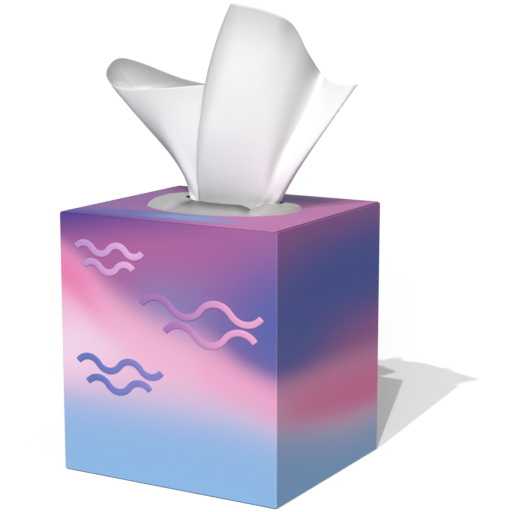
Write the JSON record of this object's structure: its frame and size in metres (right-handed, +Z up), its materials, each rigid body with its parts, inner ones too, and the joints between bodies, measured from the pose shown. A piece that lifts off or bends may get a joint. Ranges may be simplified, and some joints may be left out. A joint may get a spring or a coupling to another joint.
{
  "type": "tissue box",
  "caption": "Upright cardboard box of facial tissues with a film-lined oval opening in its top and one soft white tissue drawn up through the slit.",
  "frame": {"origin": "middle of the carton's underside, on the surface it stands on", "axes": "+Z up, -Y out of the front wall, +X to the right as seen from the front"},
  "size_m": [0.1308, 0.0979, 0.2091],
  "materials": {
    "printed_board": "satin coated print",
    "clear_film": "frosted",
    "tissue_paper": "soft matt"
  },
  "bodies": {
    "root": {"carton": "printed_board", "opening_film": "clear_film", "tissue_stack": "tissue_paper", "pulled_tissue": "tissue_paper"}
  },
  "joints": []
}
